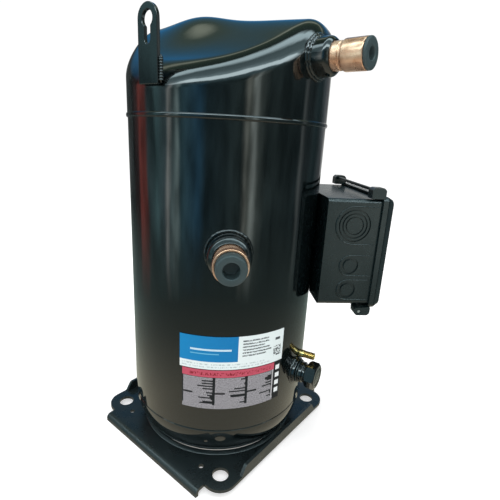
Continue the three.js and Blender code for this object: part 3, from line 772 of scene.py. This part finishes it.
COLLARS = {"discharge": (18.4, 3.3), "suction": (22.8, 5.0)}  # radius, and length of the cone
PLUG_HOLES = {"discharge": 6.2, "suction": 8.0}  # radius of the blind hole
PLUG_REACH = 12.0  # how far the plug goes down the tube
PLUG_BLIND = 14.0  # depth of the blind hole
TUBE_NECK, TUBE_WALL = 1.3, 4.1  # how far the neck and the bore are inside the sleeve


def make_stub(prefix, wall_radius, weld_radius, weld_rings, seat):
    """Collar, weld beads, copper tube and shipping plug; seat is how far the plug's head sinks in."""
    where = station(f"{prefix}_plug")
    angle = bearing(f"{prefix}_plug")
    middle = where.translation.z
    ends = [local_box(f"{prefix}_{part}", angle)[1] for part in ("collar", "tube", "plug")]
    collar_high, tube_high, plug_high = ends
    sleeve = tube_high.z - middle
    neck, inside = sleeve - TUBE_NECK, sleeve - TUBE_WALL
    collar, cone = COLLARS[prefix]
    end = collar_high.x
    profile = [
        (neck + GAP, wall_radius - 6), (collar - 1, wall_radius - 6), (collar, wall_radius + 1),
        (collar, end - cone), (collar - cone, end), (neck + GAP, end),
    ]
    body = lathe(f"{prefix}_collar_body", soften(profile, [0.3, 0.3, 1, 3, 2.2, 0.6]), where, "X")
    stands_for(body, f"{prefix}_collar")
    for k in range(weld_rings):
        path = wall_ring(weld_radius - 1.6 - 2.1 * k, wall_radius + 0.4 + 1.7 * k)
        bead = tube_along(f"{prefix}_weld_{k + 1}", path, 2.0, 1.8, True, ripple=0.16, pitch=5, matrix=where)
        belongs(bead, f"{prefix}_collar")
    groove, mouth, plug = end + 8.5, tube_high.x, plug_high.y
    opening = plug + GAP if seat else inside
    profile = [
        (inside, wall_radius - 12), (neck, wall_radius - 12), (neck, groove - 1.7),
        (neck - 1.1, groove - 1.2), (neck - 1.1, groove + 1), (sleeve - 0.4, groove + 1.9),
        (sleeve, groove + 3.2), (sleeve, mouth), (opening, mouth),
    ]
    rounding = [0.2, 0.2, 0.9, 0.5, 0.5, 0.9, 1.2, 1.1, 0.3]
    if seat:
        profile += [(opening, mouth - seat), (inside, mouth - seat)]
        rounding += [0.2, 0.2]
    stands_for(lathe(f"{prefix}_tube_copper", soften(profile, rounding), where, "X"), f"{prefix}_tube")
    make_plug(prefix, where, plug, inside - GAP, mouth, seat, plug_high.x)


def make_plug(prefix, where, head, stem, mouth, seat, front):
    """Rubber plug with a blind hole: a head outside the tube's seat and a stem inside."""
    hole = PLUG_HOLES[prefix]
    foot, collar, floor = mouth - PLUG_REACH, mouth - seat + GAP, front - PLUG_BLIND
    profile = [
        (0, foot), (stem, foot), (stem, collar), (head, collar),
        (head, front), (hole, front), (hole - 0.4, floor), (0, floor),
    ]
    profile = soften(profile, [0, 0.4, 0.2, 0.8, 2.4, 1.1, 0.6, 0], closed=False)
    stands_for(lathe(f"{prefix}_plug_rubber", profile, where, "X"), f"{prefix}_plug")


# ---- sight glass and oil valve
FITTING_ROOT = 113.4  # boss and body start within the shell's wall
BOSS_END = 121.3
SEAL_FROM, SEAL_TO = 121.7, 123.8
HEX_RADIUS, HEX_FROM = 17, 134
LENS_FROM = 144.4
VALVE_ROOT = 117.5  # where the oil valve comes out of the shell
RIB_FROM, RIB_PITCH, RIB_DEPTH = 125.0, 1.4, 0.9
PIN_FROM, PIN_STEP, PIN_TO = 118.6, 126, 137


def sight_glass_boss(where):
    boss = [(11.2, FITTING_ROOT), (16, FITTING_ROOT), (16, BOSS_END), (11.2, BOSS_END)]
    ring = lathe("sight_glass_boss_ring", soften(boss, [0.3, 0.3, 1.2, 0.3]), where, "X")
    stands_for(ring, "sight_glass_boss")
    path = wall_ring(16.4, SHELL_RADIUS + 0.2, 96)
    bead = tube_along("sight_glass_weld", path, 1.9, 1.7, True, ripple=0.14, pitch=4, matrix=where)
    belongs(bead, "sight_glass_boss")


def sight_glass_body(where, front):
    """Round fitting with a six-sided head, whose front corners are turned off."""
    nut = [
        (7, FITTING_ROOT), (9.8, FITTING_ROOT), (9.8, 124.2), (13.2, 124.2), (13.2, 129),
        (11.9, 129.8), (11.9, 132.5), (13.4, 134.5), (7, 134.5),
    ]
    body = lathe("sight_glass_fitting", soften(nut, 0.5), where, "X", segments=72)
    corners = arc(0, 0, HEX_RADIUS, 0, 300, 5)
    hexagon = sheet("hex", corners, [circle(0, 0, 11, 48)], HEX_FROM, front, UPRIGHT, where)
    end = front + 0.2
    crown = [(0, 133), (14.2, 133), (17.2, 136.2), (17.2, front - 2.2), (14.0, end), (0, end)]
    combine(hexagon, [lathe("trim", crown, where, "X", segments=72)], "INTERSECT")
    bed = [(7, HEX_FROM), (11.4, HEX_FROM), (11.4, 144), (7, 144)]
    combine(body, [hexagon, lathe("floor", soften(bed, 0.2), where, "X", segments=48)])
    bevel_edges(body, 0.35, 2, 30)
    stands_for(body, "sight_glass_body")


def make_sight_glass():
    where = station("sight_glass_lens")
    front = local_box("sight_glass_body", bearing("sight_glass_lens"))[1].x
    sight_glass_boss(where)
    seal = [(10.4, SEAL_FROM), (14.4, SEAL_FROM), (14.4, SEAL_TO), (10.4, SEAL_TO)]
    stands_for(lathe("sight_glass_gasket", soften(seal, 0.8), where, "X"), "sight_glass_seal")
    sight_glass_body(where, front)
    lens = [(0, LENS_FROM), (10.6, LENS_FROM), (10.6, 146.4), (8, 147), (0, 147.2)]
    lens = soften(lens, [0, 0.3, 0.5, 2, 0], closed=False)
    stands_for(lathe("sight_glass_window", lens, where, "X", segments=64), "sight_glass_lens")


def make_oil_valve():
    """Ribbed brass barrel with a pin down its middle."""
    where = station("oil_valve_pin")
    low, high = local_box("oil_valve_body", bearing("oil_valve_pin"))
    radius = high.z - where.translation.z
    root, crest = radius - RIB_DEPTH, radius - 0.15
    profile = [(2.4, low.x), (3.6, low.x), (3.6, VALVE_ROOT), (radius, VALVE_ROOT), (radius, 124.5)]
    x = RIB_FROM
    while x < high.x - 1.2:
        profile += [(root, x), (root, x + 0.35), (crest, x + 0.75), (crest, x + 1.0)]
        x += RIB_PITCH
    profile += [(root, high.x - 0.6), (radius - 1.3, high.x), (2.4, high.x)]
    profile = soften(profile, 0.18, 2)
    stands_for(lathe("oil_valve_barrel", profile, where, "X", segments=64), "oil_valve_body")
    pin = [(0, PIN_FROM), (1.9, PIN_FROM), (1.9, PIN_STEP), (0.9, PIN_STEP + 1), (0.9, PIN_TO), (0, PIN_TO)]
    pin = soften(pin, [0, 0.2, 0.3, 0.3, 0.3, 0], closed=False)
    stands_for(lathe("oil_valve_core", pin, where, "X", segments=32), "oil_valve_pin")


# ---- terminal box
def hollow_box(name, low, high, skin, corner, matrix):
    """Tray whose open side faces +X, with rounded edges."""
    outer = rounded_rectangle(low[1], high[1], low[2], high[2], corner)
    inner = rounded_rectangle(low[1] + skin, high[1] - skin, low[2] + skin, high[2] - skin, corner - 1)
    tray = sheet(name, outer, [], low[0], high[0], UPRIGHT, matrix)
    hollow = sheet("hollow", inner, [], low[0] + skin, high[0] + 5, UPRIGHT, matrix)
    return combine(tray, [hollow], "DIFFERENCE")


# For each knockout: its height, the radii of its grooves and the radius of the rib round it.
KNOCKOUTS = (
    (299.2, ((9.6, 10.8), (13.4, 15.2), (17.6, 19.2)), 22.4),
    (250.6, ((7.2, 10.4),), 12.6),
    (219.9, ((7.2, 10.4),), 12.6),
)
KNOCKOUT_X = 146.7  # how far out they are
HINGE = (166.0, 191.4)  # how far out the cover's hinge is, and its height
HINGE_BORE = 2.5
EAR_PLACE = 60.0
LATCH_PLACE, LATCH_HALF = 69.0, 6.5
BOX_HEIGHT = 129.5
BOX_SKIN = 2.6
COVER_SKIN = 2.2
COVER_LAP = 3.5  # how far the cover stands above and below the box
GROOVE_DEPTH = 1.7
TERMINAL_OPENING = 24
EAR_HALF = 1.6  # half an ear's thickness


def stack(name, rows, matrix=None):
    """Solid through outlines with the same number of points, each at its own distance."""
    count = len(rows[0][1])
    verts = [(x, y, z) for x, outline in rows for y, z in outline]
    ends = [tuple(range(count)), tuple(range((len(rows) - 1) * count, len(rows) * count))]
    return build(name, verts, ends + loft(len(rows), count), matrix)


def knockout_rib(turn, side, height, radius, end):
    """Raised U round a knockout, open towards the cover."""
    steps = 12
    reach = [end + (KNOCKOUT_X - end) * i / steps for i in range(steps)]
    points = [(x, height + radius) for x in reach]
    points += arc(KNOCKOUT_X, height, radius, 90, 270, 28)
    points += [(x, height - radius) for x in reversed(reach)]
    path = [((x, side, z), (0, -1, 0)) for x, z in points]
    return tube_along("rib", path, 0.8, 1.0, sides=8, matrix=turn)


def make_box_base():
    angle = bearing("terminal_header")
    turn = Matrix.Rotation(angle, 4, "Z")
    low, high = local_box("terminal_box_base", angle)
    bottom = high.z - BOX_HEIGHT
    base = hollow_box("terminal_box_tray", (low.x, low.y, bottom), high, BOX_SKIN, 5.0, turn)
    reach = SHELL_RADIUS + GAP
    column = [(0, bottom - 5), (reach, bottom - 5), (reach, high.z + 5), (0, high.z + 5)]
    shell = lathe("shell", column, segments=FINE)
    round_hole = circle(0, station("terminal_header").translation.z, TERMINAL_OPENING)
    terminal = sheet("opening", round_hole, [], low.x - 2, low.x + 5, UPRIGHT, turn)
    cuts = [shell, terminal]
    for height, grooves, _ in KNOCKOUTS:
        for inner, outer in grooves:
            edge = circle(KNOCKOUT_X, height, outer)
            island = circle(KNOCKOUT_X, height, inner)
            cuts.append(sheet("groove", edge, [island], -low.y - GROOVE_DEPTH, -low.y + 2, SIDEWAYS, turn))
    combine(base, cuts, "DIFFERENCE")
    x, z = HINGE
    outline = arc(x, z, 4, -180, 0, 12)
    outline += [(x + 4, z + 3), (x + 0.4, z + 3.6), (x + 0.4, bottom + 1), (x - 5, bottom + 1), (x - 5, z)]
    bore = circle(x, z, HINGE_BORE, 24)
    places = (-EAR_PLACE, EAR_PLACE)
    ears = [sheet("ear", outline, [bore], -y - EAR_HALF, -y + EAR_HALF, SIDEWAYS, turn) for y in places]
    combine(base, ears)
    bevel_edges(base, 0.6, 2)
    stands_for(base, "terminal_box_base")
    for k, (height, _, surround) in enumerate(KNOCKOUTS):
        rib = knockout_rib(turn, low.y, height, surround, high.x - 6.5)
        rib.name = f"knockout_rib_{k + 1}"
        belongs(rib, "terminal_box_base")


def cover_fittings(bottom, top, floor, roof, skirt, turn):
    """Latches and the rail between them above the cover, and hinge tabs below it."""
    x = HINGE[0]
    foot = roof - 2.1
    latch = [
        (x - 4.2, foot), (skirt + 2, foot), (skirt + 2, top - 3),
        (skirt - 1, top), (x - 1.5, top), (x - 4.2, top - 3),
    ]
    tab = [
        (x - 6.4, bottom + 3), (x - 3.4, bottom), (skirt, bottom), (skirt + 3, bottom + 3),
        (skirt + 3, floor + 1), (x - 4.4, floor), (x - 6.4, floor - 1),
    ]
    solids = []
    for y in (-LATCH_PLACE, LATCH_PLACE):
        span = (-y - LATCH_HALF, -y + LATCH_HALF)
        solids.append(sheet("latch", soften(latch, 1.0), [], *span, SIDEWAYS, turn))
        solids.append(sheet("tab", soften(tab, 0.8), [], *span, SIDEWAYS, turn))
    rail = [(x - 1, top - 5.4), (x + 2.6, top - 5.4), (x + 2.6, top - 1.8), (x - 1, top - 1.8)]
    solids.append(sheet("rail", soften(rail, 0.5, 2), [], -LATCH_PLACE, LATCH_PLACE, SIDEWAYS, turn))
    return solids


def make_box_cover():
    angle = bearing("terminal_header")
    turn = Matrix.Rotation(angle, 4, "Z")
    low, high = local_box("terminal_box_cover", angle)
    roof = local_box("terminal_box_base", angle)[1].z + COVER_LAP
    floor = roof - BOX_HEIGHT - 2 * COVER_LAP
    half, face = high.y, high.x
    slope, skirt = face - 7.6, face - 14.3

    def outline(inset, radius):
        return rounded_rectangle(inset - half, half - inset, floor + inset, roof - inset, radius)

    rows = [
        (skirt, outline(0, 6)), (slope - 0.9, outline(0, 6)), (slope - 0.7, outline(0.8, 5.4)),
        (slope - 0.1, outline(0.8, 5.4)), (slope, outline(0.1, 6)), (face - 1.2, outline(3.2, 6)),
        (face - 0.4, outline(3.9, 6)), (face, outline(5.2, 5.5)),
    ]
    cover = stack("terminal_box_lid", rows, turn)
    combine(cover, cover_fittings(low.z, high.z, floor, roof, skirt, turn))
    inner = rounded_rectangle(COVER_SKIN - half, half - COVER_SKIN, floor + 2, roof - 2, 4)
    hollow = sheet("hollow", inner, [], skirt - 1, slope, UPRIGHT, turn)
    bore = sheet("bore", circle(*HINGE, HINGE_BORE, 24), [], -90, 90, SIDEWAYS, turn)
    combine(cover, [hollow, bore], "DIFFERENCE")
    bevel_edges(cover, 0.5, 2)
    stands_for(cover, "terminal_box_cover")


# ---- labels
LABEL_FILM, LABEL_STEPS = 0.3, 96  # thickness, and facets round the shell


def make_label(node, name):
    """Thin curved film with its own u round the shell and v up it."""
    start, end, low, high, radius = sweep_of(node)
    width = LABEL_STEPS + 1
    angles = [start + (end - start) * i / LABEL_STEPS for i in range(width)]
    verts = []
    for r in (radius - LABEL_FILM, radius):
        for z in (low, high):
            verts += [(r * math.cos(a), r * math.sin(a), z) for a in angles]
    faces = []
    for i in range(LABEL_STEPS):
        for first, second in ((0, 1), (1, 3), (3, 2), (2, 0)):
            one, other = first * width + i, second * width + i
            faces.append((one, one + 1, other + 1, other))
    for i in (0, LABEL_STEPS):
        faces.append((i, width + i, 3 * width + i, 2 * width + i))
    label = build(name, verts, faces, sharp=40)
    layer = label.data.uv_layers.new(name="film")
    for loop in label.data.loops:
        point = label.data.vertices[loop.vertex_index].co / MM
        u = (math.atan2(point.y, point.x) - start) / (end - start)
        layer.data[loop.index].uv = (u, (point.z - low) / (high - low))
    stands_for(label, node)


# ---- the rest of the frame
def dress_cad_nodes():
    """Every CAD node that stays takes its slot's material."""
    for node, piece in frame["nodes"].items():
        piece.data.materials.clear()
        piece.data.materials.append(MATERIALS[SLOT_OF[node]])


# ---- floor, light and camera
CAMERA_BEARING = math.radians(-47.31)
CAMERA_REACH = 492.7
CAMERA_HEIGHT = 391.6
CAMERA_HEADING = math.radians(128.634)
CAMERA_PITCH = math.radians(16.455)
CAMERA_ROLL = math.radians(-3.205)
CAMERA_LENS = 27.67


def make_camera():
    data = bpy.data.cameras.new("camera")
    data.lens = CAMERA_LENS
    data.sensor_width = 36
    data.clip_start, data.clip_end = 0.01, 100
    camera = bpy.data.objects.new("camera", data)
    bpy.context.scene.collection.objects.link(camera)
    level = math.cos(CAMERA_PITCH)
    east, north = math.cos(CAMERA_HEADING), math.sin(CAMERA_HEADING)
    ahead = Vector((east * level, north * level, -math.sin(CAMERA_PITCH)))
    right = Vector((north, -east, 0))
    down = ahead.cross(right)
    tilted = right * math.cos(CAMERA_ROLL) + down * math.sin(CAMERA_ROLL)
    fallen = down * math.cos(CAMERA_ROLL) - right * math.sin(CAMERA_ROLL)
    turn = Matrix((tilted, -fallen, -ahead)).transposed().to_4x4()
    place = Vector((math.cos(CAMERA_BEARING), math.sin(CAMERA_BEARING), 0)) * CAMERA_REACH
    place.z = CAMERA_HEIGHT
    camera.matrix_world = Matrix.Translation(place * MM) @ turn
    bpy.context.scene.camera = camera


def make_floor():
    """Pale floor. Shiny surfaces look through it, at the room that the world paints below them."""
    size = 6000
    corners = [(-size, -size, 0), (size, -size, 0), (size, size, 0), (-size, size, 0)]
    floor = build("floor", corners, [(0, 1, 2, 3)])
    floor.location.z = -0.0002
    s = Shader("pale_floor")
    s.tones(s.noise(3), (0.86, 0.86, 0.86), (0.90, 0.90, 0.90))
    s.set(Roughness=0.9, Specular_IOR_Level=0.0, Emission_Color=colour(1, 1, 1), Emission_Strength=0.45)
    mix = s.add("MixShader", {0: s.add("LightPath").outputs["Is Glossy Ray"]})
    s.feed(mix.inputs[1], s.surface.outputs[0])
    s.feed(mix.inputs[2], s.add("BsdfTransparent").outputs[0])
    s.feed(s.tree.nodes["Material Output"].inputs["Surface"], mix.outputs[0])
    floor.data.materials.append(s.material)


def make_light(name, place, aim, size, power):
    data = bpy.data.lights.new(name, "AREA")
    data.shape = "RECTANGLE"
    data.size, data.size_y = size
    data.energy = power
    light = bpy.data.objects.new(name, data)
    light.location = place
    light.rotation_euler = (Vector(aim) - Vector(place)).to_track_quat("-Z", "Y").to_euler()
    light.visible_glossy = False
    bpy.context.scene.collection.objects.link(light)


# What shiny surfaces see round the object: (share of a full turn, starting at -X; tone).
ROOM_BANDS = (
    (0.00, (0.03, 0.04, 0.04)),
    (0.042, (0.10, 0.05, 0.05)),
    (0.055, (0.52, 0.13, 0.11)),
    (0.082, (0.48, 0.13, 0.11)),
    (0.095, (0.16, 0.24, 0.26)),
    (0.14, (0.30, 0.58, 0.62)),
    (0.17, (0.34, 0.52, 0.58)),
    (0.18, (1.60, 1.70, 1.65)),
    (0.192, (0.50, 0.75, 0.78)),
    (0.208, (1.30, 1.80, 1.80)),
    (0.220, (0.24, 0.52, 0.62)),
    (0.285, (0.13, 0.42, 0.70)),
    (0.305, (0.10, 0.20, 0.25)),
    (0.36, (0.13, 0.21, 0.23)),
    (0.412, (0.17, 0.25, 0.25)),
    (0.424, (1.30, 1.40, 1.25)),
    (0.434, (0.75, 0.85, 0.75)),
    (0.447, (1.70, 1.95, 1.85)),
    (0.462, (0.42, 0.52, 0.48)),
    (0.49, (0.16, 0.23, 0.23)),
    (0.61, (0.08, 0.12, 0.13)),
    (0.622, (0.42, 0.48, 0.48)),
    (0.636, (0.10, 0.13, 0.14)),
    (0.70, (0.05, 0.09, 0.10)),
    (0.76, (0.14, 0.15, 0.16)),
    (0.83, (0.90, 0.92, 0.90)),
    (0.88, (0.70, 0.72, 0.72)),
    (0.93, (0.06, 0.07, 0.07)),
)
# The same below eye level, from straight down (0) to level (0.5).
ROOM_FLOOR = (
    (0.00, (0.80, 0.75, 0.60)),
    (0.27, (0.66, 0.62, 0.48)),
    (0.33, (0.30, 0.33, 0.28)),
    (0.37, (0.17, 0.23, 0.21)),
    (0.42, (0.20, 0.27, 0.25)),
)
# The same overhead, from the camera's side (0) over the top (0.5) to the far side (1).
ROOM_SKY = (
    (0.14, (0.30, 0.50, 0.56)),
    (0.21, (0.60, 0.95, 1.05)),
    (0.226, (7.0, 8.6, 9.0)),
    (0.275, (7.0, 8.6, 9.0)),
    (0.292, (1.80, 2.50, 2.70)),
    (0.34, (0.90, 1.30, 1.40)),
    (0.42, (0.60, 0.90, 0.96)),
    (0.455, (3.60, 4.70, 5.00)),
    (0.50, (3.60, 4.70, 5.00)),
    (0.53, (0.10, 0.16, 0.14)),
    (0.62, (0.12, 0.19, 0.14)),
    (0.645, (0.16, 0.23, 0.17)),
    (0.67, (0.90, 1.00, 0.80)),
    (0.695, (0.16, 0.23, 0.19)),
    (0.75, (0.08, 0.22, 0.34)),
    (0.80, (0.05, 0.24, 0.50)),
    (0.85, (0.04, 0.32, 0.66)),
    (0.91, (0.03, 0.20, 0.38)),
    (0.96, (0.06, 0.12, 0.16)),
    (1.00, (0.60, 0.68, 0.70)),
)


def ramp(shader, value, stops):
    node = shader.add("ValToRGB", {0: value})
    elements = node.color_ramp.elements
    for place, tone in stops:
        elements.new(place).color = (*tone, 1)
    elements.remove(elements[0])
    elements.remove(elements[-1])
    return node.outputs[0]


class World(Shader):
    """The shader helper round the world's node tree."""

    def __init__(self, name):
        self.world = bpy.data.worlds.new(name)
        self.world.use_nodes = True
        self.tree = self.world.node_tree
        self.tree.nodes.clear()
        self.place = self.add("TexCoord").outputs["Generated"]


def make_world():
    """White for the camera, soft light for matt surfaces; shiny ones see a dim room in bands."""
    w = World("studio")
    bpy.context.scene.world = w.world
    x, y, z = w.add("SeparateXYZ", {0: w.place}).outputs
    drift = w.between(w.noise(2.2, 3, 0.5), -0.016, 0.016)
    turn = w.between(w.math("ARCTAN2", y, x), 0, 1, -math.pi, math.pi)
    bands = ramp(w, w.math("ADD", turn, drift), ROOM_BANDS)
    lift = w.between(w.math("ARCSINE", z), 0, 1, -math.pi / 2, math.pi / 2)
    below = ramp(w, lift, ROOM_FLOOR)
    near_x, near_y = math.cos(CAMERA_BEARING), math.sin(CAMERA_BEARING)
    near = w.math("ADD", w.times(x, near_x), w.times(y, near_y))
    tilt = w.between(w.math("ARCTAN2", z, near), 0, 1, 0, math.pi)
    cloud = w.between(w.noise(1.7, 3, 0.6), -0.06, 0.06)
    above = ramp(w, w.math("ADD", tilt, cloud), ROOM_SKY)
    patches = w.between(w.noise(5.0, 2, 0.5), 0.45, 1.5, 0.3, 0.7)
    grey = w.add("CombineXYZ", {0: patches, 1: patches, 2: patches}).outputs[0]
    tinted = w.add("VectorMath", {0: bands, 1: grey}, operation="MULTIPLY").outputs[0]
    room = w.blend(w.between(lift, 0, 1, 0.36, 0.45), below, tinted)
    room = w.blend(w.between(lift, 0, 1, 0.60, 0.68), room, above)
    ray = w.add("LightPath").outputs
    shown = w.add("Background", {0: room, 1: 1.0})
    soft = w.add("Background", {0: colour(1, 1, 1), 1: 0.72})
    white = w.add("Background", {0: colour(1, 1, 1), 1: 1.05})
    matt = w.add("MixShader", {0: ray["Is Camera Ray"], 1: soft.outputs[0], 2: white.outputs[0]})
    mix = w.add("MixShader", {0: ray["Is Glossy Ray"], 1: matt.outputs[0], 2: shown.outputs[0]})
    w.add("OutputWorld", {0: mix.outputs[0]})


# ---- assembly
bpy.context.scene.view_settings.view_transform = "Standard"
dress_cad_nodes()
make_shell_body()
make_bottom_cap()
make_top_cap()
make_base_plate()
make_lifting_lug()
make_stub("discharge", CAP_RADIUS, 22.0, 3, 0)
make_stub("suction", SHELL_RADIUS, 25.5, 1, 3)
make_sight_glass()
make_oil_valve()
make_box_base()
make_box_cover()
make_label("upper_label", "upper_label_film")
make_label("lower_label", "lower_label_film")
make_floor()
make_world()
make_light("key", (0.9, -1.6, 1.5), (0, 0, 0.3), (1.2, 1.2), 10)
make_light("fill", (-1.6, -0.6, 1.2), (0, 0, 0.3), (1.0, 1.6), 5)
make_light("top", (0.1, 0.1, 2.2), (0, 0, 0.3), (1.4, 1.4), 16)
make_camera()
